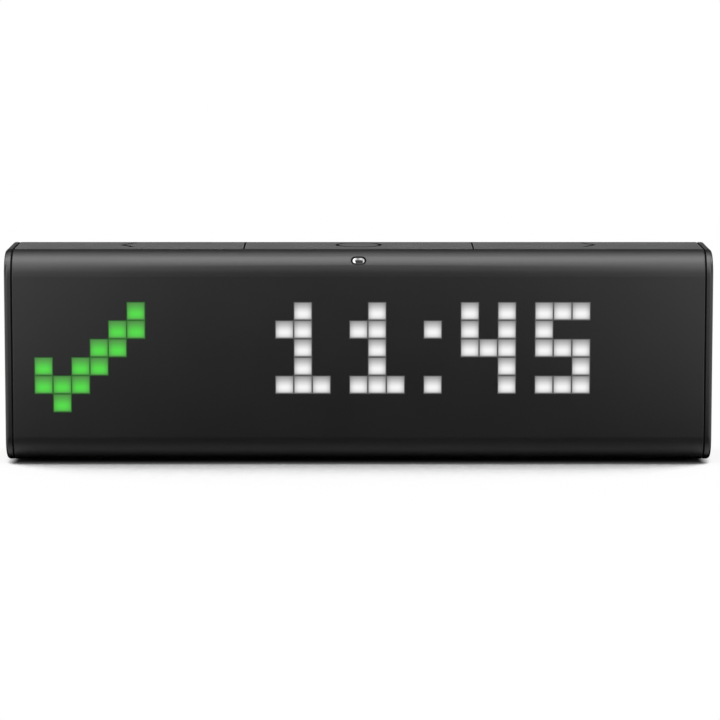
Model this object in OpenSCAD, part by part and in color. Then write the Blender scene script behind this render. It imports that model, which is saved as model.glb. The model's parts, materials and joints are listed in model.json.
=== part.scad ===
// Smart wi-fi clock: a long bar with a pixel display, three top keys and side buttons.
// X runs to the right seen from the front, the front face looks along -Y, and Z is up.
// The origin is on the table, under the middle of the bar.

/* [Body] */
// Overall width across both end caps
body_w = 201; // [180:1:230]
// Overall depth from the front face to the back face
body_d = 36; // [33:1:44]
// Overall height from the table to the top of the keys
body_h = 61; // [55:1:75]
// Radius of the four long edges
corner_r = 7.2; // [5:0.1:8]
// Wall thickness of the front shell and the rear cover
wall = 2; // [1.6:0.1:2.4]
// Rounding of the shells' edges beside the end caps
shell_edge = 0.25; // [0.1:0.05:0.5]
// Open seam between the front shell and the rear cover's floor
floor_seam = 0.1; // [0.05:0.05:0.3]

/* [End caps] */
// Thickness of the cap that shows at each end
cap_t = 1.85; // [1.5:0.05:3]
// Open seam between a cap and the shells
cap_seam = 0.45; // [0.2:0.05:0.6]
// Rounding of the cap's outer edge
cap_edge = 1; // [0.3:0.1:1.2]
// Reach of the flange that plugs into the rear cover
flange_len = 4; // [3:0.5:6]
// Thickness of that flange
flange_t = 1.4; // [1:0.1:1.8]
// Clearance between the flange and the rear cover
flange_fit = 0.2; // [0.1:0.05:0.4]
// Height of the snap ridge on the flange
snap_h = 0.5; // [0.3:0.1:0.8]

/* [Speakers] */
// Height of a speaker's flange
speaker_h = 24; // [20:1:27]
// Depth of a speaker's flange
speaker_d = 18; // [14:1:19]
// Length of a speaker without its magnet
speaker_len = 6.5; // [5:0.5:8]
// Width of the flange around a speaker's cone
speaker_rim = 2; // [1.5:0.1:3]
// Diameter of a speaker's magnet
magnet_d = 11; // [8:0.5:12]
// Thickness of a speaker's magnet
magnet_t = 3.5; // [2:0.5:5]
// Thickness of the foam gasket between speaker and cap
gasket_t = 1; // [0.5:0.1:2]
// Diameter of a grille hole
grille_hole = 1.5; // [1:0.1:1.8]
// Distance between neighbouring grille holes
grille_pitch = 2.6; // [2.4:0.1:4]

/* [Display] */
// Distance between the middles of neighbouring pixels
pixel_pitch = 5.26; // [4.5:0.02:6]
// Thickness of the walls between pixels
pixel_wall = 0.3; // [0.25:0.05:0.8]
// Depth of the light grid
grid_depth = 5; // [4:0.5:6]
// Thickness of the diffuser sheet
diffuser_t = 0.4; // [0.2:0.1:0.8]
// Height kept free above and below the display
display_margin = 9; // [8.8:0.1:14]
// Side of one light source
led_w = 2; // [1.5:0.1:3]
// Height of one light source above its board
led_h = 0.9; // [0.5:0.1:1.5]

/* [Top keys] */
// Thickness of a key's top plate
key_t = 2; // [1.5:0.1:2.5]
// Height of a key with its skirt
key_h = 3.8; // [3.4:0.1:4.4]
// Open slit between two keys
key_slit = 0.45; // [0.3:0.05:0.8]
// Gap between a key and the shells
key_gap = 0.35; // [0.25:0.05:0.6]
// Travel of a key
key_travel = 0.5; // [0.3:0.05:0.8]
// Rounding of a key's top edge
key_edge = 0.3; // [0.1:0.05:0.6]
// Depth of the marks cut into the keys
mark_depth = 0.3; // [0.1:0.05:0.6]
// Line width of the marks
mark_line = 1; // [0.6:0.1:1.6]
// Outer diameter of the ring mark
ring_d = 13.4; // [8:0.1:18]
// Width of a chevron mark
chevron_w = 3.4; // [2:0.1:6]
// Depth of a chevron mark, from arm to arm
chevron_d = 12.4; // [6:0.1:18]

/* [Side buttons] */
// Length of a button
button_len = 9; // [7:0.5:10]
// Height of a button
button_h = 4.6; // [3.5:0.1:5]
// Distance between the two volume buttons
button_pitch = 8; // [7.2:0.1:8.4]
// Travel of a button
button_travel = 0.5; // [0.3:0.05:0.8]
// Gap around a button in its cap
button_gap = 0.25; // [0.15:0.05:0.4]

/* [Light sensor] */
// Width of the lens
lens_w = 4.1; // [3:0.1:6]
// Height of the lens
lens_h = 2.6; // [2:0.1:3]
// Slope of the lens above the level
lens_slope = 39; // [30:1:45]
// Gap around the lens
lens_gap = 0.15; // [0.1:0.05:0.3]

/* [Foot pad] */
// Distance from each end of the body to the end of the foot pad
pad_end = 5; // [3:0.5:25]
// Depth of the foot pad from front to back
pad_d = 20; // [16:0.5:20]
// Height by which the pad stands proud
pad_proud = 0.8; // [0.5:0.1:1.5]
// Depth of the pocket that holds the pad
pad_pocket = 0.6; // [0.4:0.1:0.8]

/* [Boards] */
// Thickness of the LED board and the main board
board_t = 1.6; // [1:0.1:2]
// Thickness of the key board and the switch boards
small_board_t = 1.2; // [0.8:0.1:1.6]
// Length of the main board
main_len = 140; // [120:1:144]
// Height of the main board's standoffs
standoff_h = 4.8; // [4.4:0.1:8]
// Place of the power inlet to the right of the middle
inlet_x = 0; // [-8:1:3]

/* [Screws] */
// Diameter of a screw's shank
screw_d = 1.8; // [1.4:0.1:2]
// Diameter of a screw's head
head_d = 3; // [2.4:0.1:3.2]
// Height of a screw's head
head_h = 1; // [0.6:0.1:1.2]

/* [Hidden] */
$fn = 64;

// Colours
shell_black = "#1c1c1e";
key_black = "#202022";
button_black = "#262628";
rubber_black = "#101011";
board_green = "#1f4d33";
part_black = "#18181a";
steel = "#b8babd";
part_white = "#e8e8e4";

// Reach of a rib or boss into the wall that carries it
root = 0.4;
// Overshoot of a cut past the face that it opens
over = 1;
// Running clearance around a stem, leg or screw in its hole
clear = 0.2;
// Small air gap between pieces that stack without touching
air = 0.2;
// Room past the tip of a screw
screw_tip = 0.3;
// Least rounding inside a section
least_r = 0.3;

// Shells
half_d = body_d / 2;
flat_half = half_d - corner_r;
shell_z = pad_proud;
shell_h = body_h - shell_z;
mid_z = shell_z + shell_h / 2;
cap_x = body_w / 2 - cap_t;
tube_half = cap_x - cap_seam;
tube_len = 2 * tube_half;
front_in = -half_d + wall;
rear_in = half_d - wall;
floor_in = shell_z + wall;
arc_z = body_h - corner_r;
// Place of the floor's seam behind the front shell's lower edge
seam_back = 1;
seam_y = -flat_half + seam_back;
// Half depth of the room between the shells at a height near the top
function inner_half(z) = flat_half + sqrt(pow(corner_r - wall, 2) - pow(max(0, z - arc_z), 2));

// Display stack, from the front wall backwards
grid_y = front_in + diffuser_t;
led_y = grid_y + grid_depth;
led_back = led_y + board_t;
display_end = 0.7;
pixel_cols = floor((tube_len - 2 * display_end) / pixel_pitch);
pixel_rows = floor((shell_h - 2 * display_margin) / pixel_pitch);
display_w = pixel_cols * pixel_pitch + pixel_wall;
display_h = pixel_rows * pixel_pitch + pixel_wall;
// Lip behind the upper edge of the LED board
lip_t = 0.8;
lip_h = 1.4;
lip_back = led_back + air + lip_t;

// Top keys
key_depth = 2 * (flat_half - key_gap);
key_len = (tube_len - 2 * key_slit) / 3;
key_pitch = key_len + key_slit;
key_under = body_h - key_t;
key_corner = 0.8;
skirt_t = 1.2;
skirt_z = body_h - key_h;
key_rest = 0.3;
pusher_d = 6;
// Height of the pusher's end above the skirt's edge
pusher_short = 0.2;
pusher_z = skirt_z + pusher_short;
// Legs that hook under the key frame, clear of the lip in front of them
leg_inset = 7.6;
leg_gap = 2.5;
leg_x = key_len / 2 - leg_inset;
leg_y = -lip_back - leg_gap;
leg_w = 3;
leg_t = 1.4;
barb = 0.6;
barb_h = 0.5;
barb_gap = 0.1;
// Marks sit a little behind the middle of the keys, and those of the outer keys further out
mark_y = 2.5;
mark_out = 0.7;

// Key frame, its ledges, and the key board below it
frame_t = 1.2;
frame_fit = 0.35;
frame_end_gap = 1;
frame_top = skirt_z - key_travel - key_rest;
frame_z = frame_top - frame_t;
frame_half_d = inner_half(frame_top) - frame_fit;
frame_half_w = tube_half - frame_end_gap;
ledge_t = 1.1;
ledge_z = frame_z - ledge_t;
// Place of the frame's screws beyond the flat top, and along the middle and the outer keys
frame_screw_out = 1.4;
frame_screw_mid = 24;
frame_screw_off = 6;
frame_screw_y = flat_half + frame_screw_out;
frame_screw_xs = [for (side = [-1, 1], x = [frame_screw_mid, key_pitch + frame_screw_off]) side * x];
frame_screw_len = 3;
// Rim of the rear ledge in front of the frame's screws
ledge_rim = 1.2;
rear_ledge = rear_in - frame_screw_y + screw_d / 2 + ledge_rim;
switch_w = 6;
switch_h = 2.6;
stem_d = 3;
stem_sink = 0.3;
// Room under a stem at the end of its travel
stem_room = 0.4;
key_board_top = frame_top - switch_h;
key_board_z = key_board_top - small_board_t;
key_board_inset = 5;
key_board_gap = 0.7;
key_board_half = tube_half - key_board_inset;
key_board_y0 = lip_back + key_board_gap;
key_board_y1 = rear_in - rear_ledge - key_board_gap;
post_d = 4.5;
post_off = 15;
post_inset = 3;
post_xs = [for (side = [-1, 1], off = [-post_off, post_off]) side * key_pitch + off];
post_ys = [key_board_y0 + post_inset, key_board_y1 - post_inset];

// LED board and its screws
tongue_t = 1.2;
led_board_gap = 0.7;
led_board_z = floor_in + tongue_t + led_board_gap;
led_board_top = ledge_z - air;
led_boss_d = 4;
led_screw_up = 2.3;
led_screw_end = 8.3;
led_screw_z = led_board_z + led_screw_up;
led_screw_len = 3.4;
led_screw_step = (tube_half - led_screw_end) / 2;
led_screw_xs = [for (i = [-2:2]) i * led_screw_step];

// Light sensor on a tab of the LED board, and the lens that leads light to it
sensor_w = 2;
sensor_t = 0.8;
sensor_air = 0.4;
lens_sink = 0.15;
lens_end_y = led_y - sensor_t - sensor_air - lens_h / 2 * sin(lens_slope);
lens_end_r = (-flat_half - lens_end_y) / cos(lens_slope);
sensor_z = arc_z + lens_end_r * sin(lens_slope);
tab_w = 10;
tab_margin = 0.1;
tab_top = sensor_z + sensor_w / 2 + tab_margin;
notch_gap = 1;
notch_w = tab_w + 2 * notch_gap;

// Floor screws, and the tongue that they hold
floor_boss_d = 4.5;
floor_boss_h = 4.2;
floor_screw_back = 3;
floor_screw_end = 18;
floor_screw_mid = 25;
floor_screw_y = led_back + floor_screw_back;
floor_screw_xs = [for (side = [-1, 1], x = [floor_screw_mid, tube_half - floor_screw_end]) side * x];
floor_head_h = 0.6;
floor_head_d = 3.6;
floor_head_gap = 0.1;
floor_seat_z = shell_z + pad_pocket + floor_head_gap + floor_head_h;
floor_screw_len = 4.2;
tongue_end = 8;
tongue_rim = 0.2;
// Overlap of the tongue with the front shell's lower lip
tongue_root = 2;
tongue_half = tube_half - tongue_end;
tongue_y1 = floor_screw_y + floor_boss_d / 2 + tongue_rim;

// Foot pad
pad_len = body_w - 2 * pad_end;
pad_r = 4;
pad_edge = 0.4;
pad_fit = 0.15;

// Main board and what stands on it, placed from the board's two ends
main_z = floor_in + standoff_h;
main_top = main_z + board_t;
main_gap = 0.5;
main_rear_gap = 1.8;
main_y0 = tongue_y1 + main_gap;
main_y1 = rear_in - main_rear_gap;
main_half = main_len / 2;
main_hole_inset = 6;
main_hole_edge = 3;
main_hole_x = main_half - main_hole_inset;
main_hole_ys = [main_y0 + main_hole_edge, main_y1 - main_hole_edge];
standoff_d = 5;
main_screw_len = 4;
chip_w = 11;
chip_t = 1.2;
chip_x = 10;
memory_inset = 20;
memory_x = main_half - memory_inset;
memory_w = 8;
memory_t = 1;
wifi_inset = 25;
wifi_x = wifi_inset - main_half;
wifi_w = 18;
wifi_d = 12;
wifi_t = 2.8;

// Power inlet
inlet_w = 7.5;
inlet_h = 2.7;
inlet_len = 5.6;
inlet_wall = 0.3;
inlet_bevel = 1;
inlet_corner = 0.5;
inlet_z = main_top + inlet_h / 2;
recess_depth = 1;
recess_w = 12.5;
recess_h = 7.5;
recess_r = 2;
inlet_y = half_d - recess_depth;
tongue_w = 3.8;
tongue_h = 0.6;
tongue_len = 4;
// Height of the inlet's tongue above the inlet's middle
tongue_rise = 0.3;

// Ribbons and connectors
ribbon_t = 0.3;
ribbon_w = 10;
ribbon_bend = 2.5;
plug_side = 1;
plug_w = ribbon_w + 2 * plug_side;
plug_t = 2.2;
plug_h = 3.4;
display_ribbon_inset = 38;
display_ribbon_x = main_half - display_ribbon_inset;
display_ribbon_y = led_back + plug_t / 2;
display_plug_z = 22;
key_ribbon_inset = 42;
key_ribbon_x = key_ribbon_inset - main_half;
key_plug_inset = 2.5;
key_ribbon_y = key_board_y1 - key_plug_inset;
switch_plug_w = 6;
switch_ribbon_w = 5;

// Speakers behind the caps
flange_in = wall + flange_fit;
speaker_air = 0.2;
speaker_y = rear_in - flange_fit - flange_t - speaker_air - speaker_d / 2;
// Half of the straight stretch at each end of a speaker's outline
speaker_flat = 1;
speaker_r = speaker_d / 2 - speaker_flat;
speaker_rim_t = 1.4;
basket_t = 1;
speaker_x = cap_x - gasket_t;
basket_x = speaker_x - speaker_len;
collar_t = 1;
collar_h = 2;
cone_t = 0.6;
cone_gap = 0.1;
dome_d = 9;
dome_h = 1.4;
// Leads from the main board to a terminal on the speaker's back
lead_d = 1.2;
lead_gap = 2.4;
lead_rise = 2.3;
lead_z = main_top + lead_rise;
lead_plug_inset = 10;
lead_plug_len = 4;
lead_plug_h = 4.5;
lead_start = main_half - lead_plug_inset;
terminal_w = 6;
terminal_h = 2;
terminal_t = 1;
terminal_gap = 0.6;
lead_end = basket_x - terminal_t;
// The magnet sits just above the terminal
speaker_z = lead_z + terminal_h / 2 + terminal_gap + magnet_d / 2;

// Side buttons, their switches, and boards that hang below the key board
retainer = 0.7;
retainer_t = 0.8;
retainer_air = 0.1;
button_sink = 0.1;
switch_board_h = 13.6;
switch_board_d = 20;
switch_board_gap = 0.6;
switch_board_top = key_board_z - switch_board_gap;
switch_board_z = switch_board_top - switch_board_h;
switch_plug_up = 0.6;
switch_plug_z = switch_board_z + switch_plug_up;
button_z = switch_board_z + switch_board_h / 2;
button_in = cap_x - retainer_air - retainer_t;
side_switch_w = 4.5;
side_switch_h = 2.8;
side_rest = 0.85;
side_switch_x = button_in - button_travel - side_rest;
side_board_x = side_switch_x - side_switch_h;
side_board_back = side_board_x - small_board_t;
side_post_d = 4.6;
side_post_y = 8.2;
side_post_gap = 0.3;
side_screw_len = 4;
button_y = rear_in - side_post_gap - side_post_d / 2 - side_post_y;

// Flange and snap ridge of an end cap
flange_gap = 1;
flange_y0 = lip_back + flange_gap;
flange_top = switch_board_top;
snap_len = 10;
snap_w = 1.5;
snap_inset = 1;

// Flat shapes

module rounded_rect(w, h, r) {
    square([w - 2 * r, h], center = true);
    square([w, h - 2 * r], center = true);
    for (x = [-1, 1], y = [-1, 1])
        translate([x * (w / 2 - r), y * (h / 2 - r)]) circle(r);
}

module pill(length, w) {
    square([length - w, w], center = true);
    for (x = [-1, 1])
        translate([x * (length - w) / 2, 0]) circle(w / 2);
}

// A band from one depth and height to another
module band(y0, y1, z0, z1) {
    translate([y0, z0]) square([y1 - y0, z1 - z0]);
}

// Cross-section of the bar, drawn in by an inset
module section(inset = 0) {
    translate([0, mid_z])
        rounded_rect(body_d - 2 * inset, shell_h - 2 * inset, max(least_r, corner_r - inset));
}

// Prisms along each axis from flat shapes: across X the shape is y by z, across Y it is x by z

module prism_x(x0, x1) {
    translate([x0, 0, 0]) rotate([90, 0, 90]) linear_extrude(x1 - x0) children();
}

module prism_y(y0, y1) {
    translate([0, y1, 0]) rotate([90, 0, 0]) linear_extrude(y1 - y0) children();
}

module prism_z(z0, z1) {
    translate([0, 0, z0]) linear_extrude(z1 - z0) children();
}

module block(x0, x1, y0, y1, z0, z1) {
    translate([x0, y0, z0]) cube([x1 - x0, y1 - y0, z1 - z0]);
}

// Outline of a plate's edge, rounded at the top, or at the top and the bottom
module edge_profile(r, t, edge, both) {
    low = both ? edge : 0;
    square([r - edge, t]);
    translate([0, low]) square([r, t - edge - low]);
    for (y = both ? [edge, t - edge] : [t - edge])
        translate([r - edge, y]) circle(edge);
}

// Plate with round corners and a rounded upper edge, or with both edges rounded
module rounded_plate(w, h, r, t, edge, both = false) {
    for (i = [0:3]) {
        along = i % 2 == 0 ? h / 2 - r : w / 2 - r;
        out = i % 2 == 0 ? w / 2 - r : h / 2 - r;
        rotate([0, 0, 90 * i]) translate([out, along, 0]) {
            rotate([90, 0, 0]) linear_extrude(2 * along) edge_profile(r, t, edge, both);
            rotate_extrude(angle = 90) edge_profile(r, t, edge, both);
        }
    }
    translate([r - w / 2, r - h / 2, 0]) cube([w - 2 * r, h - 2 * r, t]);
}

// Screw with its head above z = 0 and its shank below
module screw(length, d = head_d, h = head_h) {
    cylinder(h, d = d);
    translate([0, 0, -length]) cylinder(length, d = screw_d);
}

module screw_hole(length) {
    translate([0, 0, -length]) cylinder(length + root, d = screw_d + clear);
}

// The right-hand form, or its mirror image on the left
module on_side(side) {
    mirror([side < 0 ? 1 : 0, 0, 0]) children();
}

// Axis of the lens: z is the way out through the rounded edge
module lens_axis() {
    translate([0, -flat_half, arc_z]) rotate([90 - lens_slope, 0, 0]) children();
}

// Shells

// Walls of both shells before they are parted, with their end edges rounded
module hollow_bar() {
    difference() {
        translate([-tube_half, 0, mid_z]) rotate([90, 0, 90])
            rounded_plate(body_d, shell_h, corner_r, tube_len, shell_edge, true);
        prism_x(-tube_half - over, tube_half + over) section(wall);
    }
}

module front_shell() {
    color(shell_black) difference() {
        union() {
            front_shell_wall();
            front_shell_ledge();
            front_shell_tongue();
            for (x = led_screw_xs)
                translate([x, 0, led_screw_z]) rotate([90, 0, 0]) translate([0, 0, -led_y])
                    cylinder(half_d - wall / 2 + led_y, d = led_boss_d);
        }
        pad_cut();
        lens_axis() prism_z(0, corner_r + over) pill(lens_w + 2 * lens_gap, lens_h + 2 * lens_gap);
        block(-notch_w / 2, notch_w / 2, front_in, lip_back + over, ledge_z - lip_h - over, frame_z + root);
        for (x = led_screw_xs)
            translate([x, led_back, led_screw_z]) rotate([-90, 0, 0]) screw_hole(led_screw_len + screw_tip);
        for (x = frame_screw_xs)
            translate([x, -frame_screw_y, frame_top]) screw_hole(frame_screw_len + screw_tip);
        for (x = floor_screw_xs)
            translate([x, floor_screw_y, floor_seat_z]) rotate([180, 0, 0])
                screw_hole(floor_screw_len + screw_tip);
    }
}

module front_shell_wall() {
    intersection() {
        hollow_bar();
        prism_x(-tube_half - over, tube_half + over) {
            band(-half_d - over, -flat_half, mid_z, body_h + over);
            band(-half_d - over, seam_y, shell_z - over, mid_z);
        }
    }
}

// Ledge for the key frame, with a lip that traps the LED board's upper edge
module front_shell_ledge() {
    prism_x(-tube_half, tube_half) {
        band(front_in - root, lip_back, ledge_z, frame_z);
        band(lip_back - lip_t, lip_back, ledge_z - lip_h, ledge_z + root);
    }
}

// Tongue that lies on the rear cover's floor, with bosses for the floor screws
module front_shell_tongue() {
    prism_x(-tongue_half, tongue_half) {
        band(seam_y - tongue_root, tongue_y1, floor_in, floor_in + tongue_t);
        band(seam_y - tongue_root, seam_y, floor_in - root, floor_in + root);
    }
    for (x = floor_screw_xs)
        translate([x, floor_screw_y, floor_in]) cylinder(floor_boss_h, d = floor_boss_d);
}

module rear_cover() {
    color(shell_black) difference() {
        union() {
            rear_cover_wall();
            prism_x(-tube_half, tube_half) band(rear_in - rear_ledge, rear_in + root, ledge_z, frame_z);
            for (x = [-main_hole_x, main_hole_x], y = main_hole_ys)
                translate([x, y, floor_in - root]) cylinder(standoff_h + root, d = standoff_d);
        }
        pad_cut();
        inlet_cut();
        for (x = [-main_hole_x, main_hole_x], y = main_hole_ys)
            translate([x, y, main_top]) screw_hole(main_screw_len + screw_tip);
        for (x = frame_screw_xs)
            translate([x, frame_screw_y, frame_top]) screw_hole(frame_screw_len + screw_tip);
        for (x = floor_screw_xs)
            translate([x, floor_screw_y, 0]) {
                cylinder(floor_seat_z, d = floor_head_d + 2 * clear);
                cylinder(floor_in + over, d = screw_d + 2 * clear);
            }
        for (side = [-1, 1])
            on_side(side) snap_ridge(clear);
    }
}

module rear_cover_wall() {
    intersection() {
        hollow_bar();
        prism_x(-tube_half - over, tube_half + over) {
            band(flat_half, half_d + over, mid_z, body_h + over);
            band(seam_y + floor_seam, half_d + over, shell_z - over, mid_z);
        }
    }
}

// Shallow recess in the back, and the way through it for the power inlet
module inlet_cut() {
    translate([inlet_x, 0, inlet_z]) {
        prism_y(inlet_y, half_d + over) rounded_rect(recess_w, recess_h, recess_r);
        prism_y(rear_in - over, half_d)
            rounded_rect(inlet_w + 2 * clear, inlet_h + 2 * clear, inlet_corner);
    }
}

// Pocket in the underside that holds the foot pad
module pad_cut() {
    prism_z(shell_z - over, shell_z + pad_pocket)
        rounded_rect(pad_len + 2 * pad_fit, pad_d + 2 * pad_fit, pad_r + pad_fit);
}

module foot_pad() {
    color(rubber_black) translate([0, 0, shell_z + pad_pocket]) rotate([180, 0, 0])
        rounded_plate(pad_len, pad_d, pad_r, pad_proud + pad_pocket, pad_edge);
}

// End caps

// Ridge on the flange that snaps into the back wall
module snap_ridge(grow = 0) {
    translate([cap_x - flange_len + snap_inset, 0, speaker_z])
        block(-grow, snap_w + grow, rear_in - flange_fit - root, rear_in - flange_fit + snap_h + grow,
            -snap_len / 2 - grow, snap_len / 2 + grow);
}

module end_cap(button_zs) {
    difference() {
        union() {
            translate([cap_x, 0, mid_z]) rotate([90, 0, 90])
                rounded_plate(body_d, shell_h, corner_r, cap_t, cap_edge);
            cap_flange();
            snap_ridge();
            cap_collar();
            for (y = [-side_post_y, side_post_y])
                translate([side_board_x, button_y + y, button_z]) rotate([0, 90, 0])
                    cylinder(cap_x - side_board_x + root, d = side_post_d);
        }
        cap_grille();
        for (z = button_zs)
            translate([0, button_y, z]) prism_x(cap_x - over, body_w / 2 + over)
                pill(button_len + 2 * button_gap, button_h + 2 * button_gap);
        for (y = [-side_post_y, side_post_y])
            translate([side_board_x, button_y + y, button_z]) rotate([0, -90, 0])
                screw_hole(side_screw_len);
    }
}

// Flange along the floor and the back wall
module cap_flange() {
    prism_x(cap_x - flange_len, cap_x + root) intersection() {
        difference() {
            section(flange_in);
            section(flange_in + flange_t);
        }
        band(flange_y0, half_d, shell_z, flange_top);
    }
}

// Collar that locates the speaker and its gasket
module cap_collar() {
    translate([0, speaker_y, speaker_z]) prism_x(cap_x - collar_h, cap_x + root) difference() {
        rounded_rect(speaker_d + 2 * (speaker_air + collar_t), speaker_h + 2 * (speaker_air + collar_t),
            speaker_r + speaker_air + collar_t);
        rounded_rect(speaker_d + 2 * speaker_air, speaker_h + 2 * speaker_air, speaker_r + speaker_air);
    }
}

// Staggered rows of holes in front of the cone
module cap_grille() {
    row = grille_pitch * sqrt(3) / 2;
    room_y = speaker_d / 2 - speaker_rim - grille_hole / 2;
    room_z = speaker_h / 2 - speaker_rim - grille_hole / 2;
    rows = floor(room_z / row);
    for (j = [-rows:rows]) {
        shift = j % 2 == 0 ? 0 : grille_pitch / 2;
        side_room = abs(j) == rows ? room_y / 2 : room_y;
        reach = ceil(room_y / grille_pitch);
        for (i = [-reach - 1:reach])
            if (abs(i * grille_pitch + shift) <= side_room)
                translate([cap_x - over, speaker_y + i * grille_pitch + shift, speaker_z + j * row])
                    rotate([0, 90, 0]) cylinder(cap_t + 2 * over, d = grille_hole);
    }
}

module left_end_cap() {
    color(shell_black) on_side(-1) end_cap([button_z]);
}

module right_end_cap() {
    color(shell_black) on_side(1)
        end_cap([button_z - button_pitch / 2, button_z + button_pitch / 2]);
}

// Speakers

module speaker_frame() {
    translate([0, speaker_y, speaker_z]) {
        prism_x(speaker_x - speaker_rim_t, speaker_x) difference() {
            rounded_rect(speaker_d, speaker_h, speaker_r);
            speaker_mouth();
        }
        prism_x(basket_x, speaker_x - speaker_rim_t) difference() {
            rounded_rect(speaker_d - speaker_rim, speaker_h - speaker_rim, speaker_r - speaker_rim / 2);
            speaker_mouth();
        }
        prism_x(basket_x, basket_x + basket_t) difference() {
            rounded_rect(speaker_d - speaker_rim, speaker_h - speaker_rim, speaker_r - speaker_rim / 2);
            circle(d = dome_d);
        }
    }
    // Terminal for the leads
    block(lead_end, basket_x, speaker_y - terminal_w / 2, speaker_y + terminal_w / 2,
        lead_z - terminal_h / 2, lead_z + terminal_h / 2);
}

module speaker_mouth(inset = 0) {
    rounded_rect(speaker_d - 2 * (speaker_rim + inset), speaker_h - 2 * (speaker_rim + inset),
        speaker_r - speaker_rim - inset);
}

// Flat cone with a round dome in its middle
module speaker_cone() {
    dome_r = (pow(dome_d / 2, 2) + pow(dome_h, 2)) / (2 * dome_h);
    x0 = speaker_x - speaker_rim_t - cone_t;
    translate([0, speaker_y, speaker_z]) {
        prism_x(x0, x0 + cone_t) speaker_mouth(cone_gap);
        translate([x0 + cone_t, 0, 0]) rotate([0, 90, 0]) rotate_extrude() intersection() {
            translate([0, dome_h - dome_r]) circle(dome_r);
            square([dome_d, dome_h]);
        }
    }
}

module speaker_magnet() {
    translate([basket_x - magnet_t, speaker_y, speaker_z]) rotate([0, 90, 0])
        cylinder(magnet_t, d = magnet_d);
}

module speaker_gasket() {
    translate([0, speaker_y, speaker_z]) prism_x(speaker_x, cap_x) difference() {
        rounded_rect(speaker_d, speaker_h, speaker_r);
        speaker_mouth();
    }
}

module left_speaker_frame() {
    color(part_black) on_side(-1) speaker_frame();
}

module left_speaker_cone() {
    color(rubber_black) on_side(-1) speaker_cone();
}

module left_speaker_magnet() {
    color(steel) on_side(-1) speaker_magnet();
}

module left_speaker_gasket() {
    color(rubber_black) on_side(-1) speaker_gasket();
}

module right_speaker_frame() {
    color(part_black) on_side(1) speaker_frame();
}

module right_speaker_cone() {
    color(rubber_black) on_side(1) speaker_cone();
}

module right_speaker_magnet() {
    color(steel) on_side(1) speaker_magnet();
}

module right_speaker_gasket() {
    color(rubber_black) on_side(1) speaker_gasket();
}

// Pair of leads from the main board to each speaker
module speaker_leads() {
    color("crimson") for (side = [-1, 1], y = [-1, 1])
        on_side(side) translate([lead_start, speaker_y + y * lead_gap / 2, lead_z]) rotate([0, 90, 0])
            cylinder(lead_end - lead_start, d = lead_d);
}

// Top keys

module key_body() {
    translate([0, 0, key_under]) rounded_plate(key_len, key_depth, key_corner, key_t, key_edge);
    prism_z(skirt_z, key_under + root) difference() {
        rounded_rect(key_len, key_depth, key_corner);
        square([key_len - 2 * skirt_t, key_depth - 2 * skirt_t], center = true);
    }
    translate([0, 0, pusher_z]) cylinder(key_under + root - pusher_z, d = pusher_d);
    for (x = [-leg_x, leg_x], y = [-1, 1])
        translate([x, y * leg_y, 0]) key_leg(y);
}

// Leg with a barb that hooks under the key frame
module key_leg(way) {
    barb_z = frame_z - barb_gap - barb_h;
    reach = leg_t / 2 + barb;
    block(-leg_w / 2, leg_w / 2, -leg_t / 2, leg_t / 2, barb_z, key_under + root);
    block(-leg_w / 2, leg_w / 2, way < 0 ? -reach : 0, way < 0 ? 0 : reach, barb_z, barb_z + barb_h);
}

module ring_mark() {
    difference() {
        circle(d = ring_d);
        circle(d = ring_d - 2 * mark_line);
    }
}

// Chevron that points along +X or -X
module chevron_mark(way) {
    half_line = mark_line / 2 * sqrt(1 + pow(2 * chevron_w / chevron_d, 2));
    tip = chevron_w / 2;
    arm = chevron_d / 2;
    scale([way, 1]) polygon([
        [tip + half_line, 0], [-tip + half_line, arm], [-tip - half_line, arm],
        [tip - half_line, 0], [-tip - half_line, -arm], [-tip + half_line, -arm]
    ]);
}

// Key at its place, with the children cut into its top as a mark
module marked_key(place) {
    color(key_black) translate([place * key_pitch, 0, 0]) difference() {
        key_body();
        translate([place * mark_out, mark_y, 0]) prism_z(body_h - mark_depth, body_h + over) children();
    }
}

module left_key() {
    marked_key(-1) chevron_mark(-1);
}

// The skirt is cut back where it would meet the light sensor's tab
module centre_key() {
    relief_top = tab_top + key_travel + clear;
    difference() {
        marked_key(0) ring_mark();
        if (relief_top > skirt_z)
            block(-notch_w / 2, notch_w / 2, -half_d, led_back + clear, skirt_z - over, relief_top);
    }
}

module right_key() {
    marked_key(1) chevron_mark(1);
}

// Stem of a key's switch, pressed by the pusher under the key
module key_stem(place) {
    z0 = frame_top - stem_sink;
    color(part_white) translate([place * key_pitch, 0, z0]) cylinder(pusher_z - z0, d = stem_d);
}

module left_key_stem() {
    key_stem(-1);
}

module centre_key_stem() {
    key_stem(0);
}

module right_key_stem() {
    key_stem(1);
}

// Frame that carries the keys between the two ledges
module key_frame() {
    color(part_black) difference() {
        union() {
            block(-frame_half_w, frame_half_w, -frame_half_d, frame_half_d, frame_z, frame_top);
            for (x = post_xs, y = post_ys)
                translate([x, y, key_board_top]) cylinder(frame_z - key_board_top + root, d = post_d);
        }
        for (place = [-1:1])
            translate([place * key_pitch, 0, 0]) key_frame_holes();
        block(-notch_w / 2, notch_w / 2, -half_d, lip_back + over, frame_z - over, frame_top + over);
        for (x = frame_screw_xs, y = [-frame_screw_y, frame_screw_y])
            translate([x, y, frame_top]) screw_hole(frame_t + over);
        for (x = post_xs, y = post_ys)
            translate([x, y, key_board_z]) rotate([180, 0, 0])
                screw_hole(frame_z - key_board_z);
    }
}

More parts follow.
